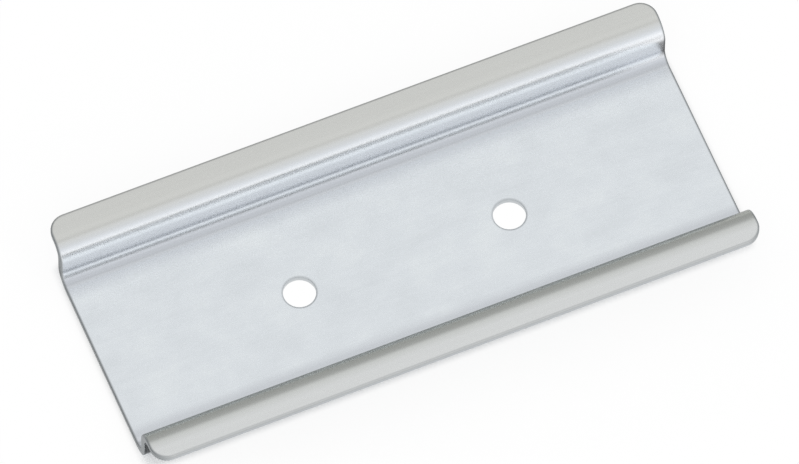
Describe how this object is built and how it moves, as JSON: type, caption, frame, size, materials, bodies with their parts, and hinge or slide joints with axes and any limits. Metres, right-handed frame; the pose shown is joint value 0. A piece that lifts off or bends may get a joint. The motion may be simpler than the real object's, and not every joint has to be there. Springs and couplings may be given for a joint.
{
  "type": "din rail",
  "caption": "Short piece of 35 mm top-hat mounting rail, a strip of steel bent to an open channel with a flange along each side and fixing holes in its web.",
  "frame": {"origin": "underside of the web, midway along the rail and midway across it", "axes": "+X along the rail, +Y across it, +Z out of the open side of the channel, as the rail lies on its web"},
  "size_m": [0.0786, 0.035, 0.0075],
  "materials": {
    "zinc_plated_steel": "bright zinc plate with a clear blue passivate, satin"
  },
  "bodies": {
    "root": {"rail": "zinc_plated_steel"}
  },
  "joints": []
}
